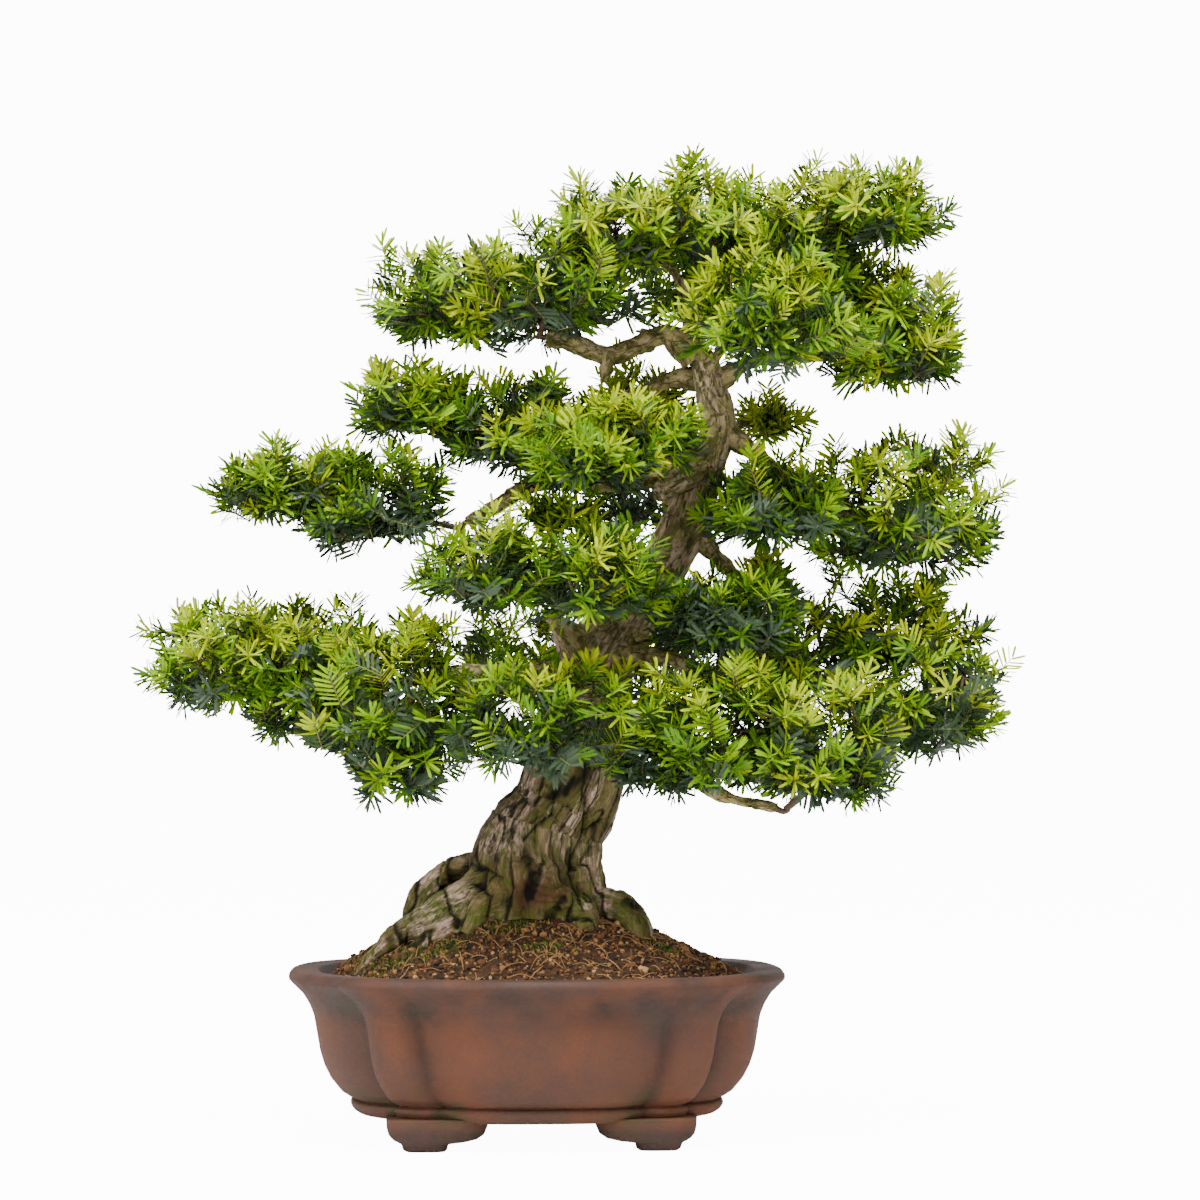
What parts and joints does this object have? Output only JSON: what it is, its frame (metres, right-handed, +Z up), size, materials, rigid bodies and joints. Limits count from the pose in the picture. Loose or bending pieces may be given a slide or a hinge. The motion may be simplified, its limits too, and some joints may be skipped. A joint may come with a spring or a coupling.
{
  "type": "japanese yew bonsai in a clay pot",
  "caption": "Informal upright yew bonsai with layered needle pads on bare tapering boughs, surface roots on a soil mound, in a lobed clay pot on cloud feet.",
  "frame": {"origin": "on the ground, under the middle of the whole plant's bounding box, crown included", "axes": "+Z up, -Y towards the front as the plant is shown, +X to the right, the way the trunk leans"},
  "size_m": [0.7445, 0.4173, 0.8329],
  "materials": {
    "clay": "matte",
    "soil": "matte",
    "bark": "matte",
    "foliage": "matte"
  },
  "bodies": {
    "root": {"back_low": "foliage", "back_low_bough": "bark", "back_middle": "foliage", "back_middle_bough": "bark", "back_right": "foliage", "back_right_bough": "bark", "centre_front": "foliage", "centre_front_bough": "bark", "centre_right": "foliage", "centre_right_bough": "bark", "crown_back": "foliage", "crown_back_bough": "bark", "crown_far_right": "foliage", "crown_far_right_bough": "bark", "crown_front": "foliage", "crown_front_bough": "bark", "crown_left": "foliage", "crown_left_bough": "bark", "crown_right": "foliage", "crown_right_bough": "bark", "inner_left": "foliage", "inner_left_bough": "bark", "left_middle": "foliage", "left_middle_bough": "bark", "left_second": "foliage", "left_second_bough": "bark", "left_upper": "foliage", "left_upper_bough": "bark", "low_centre": "foliage", "low_centre_bough": "bark", "low_left_bough": "bark", "low_left_front_bough": "bark", "low_left_inner": "foliage", "low_left_outer": "foliage", "pot": "clay", "right_inner": "foliage", "right_inner_bough": "bark", "right_lower": "foliage", "right_lower_bough": "bark", "right_outer": "foliage", "right_outer_bough": "bark", "right_upper": "foliage", "right_upper_bough": "bark", "soil": "soil", "trunk": "bark"}
  },
  "joints": []
}
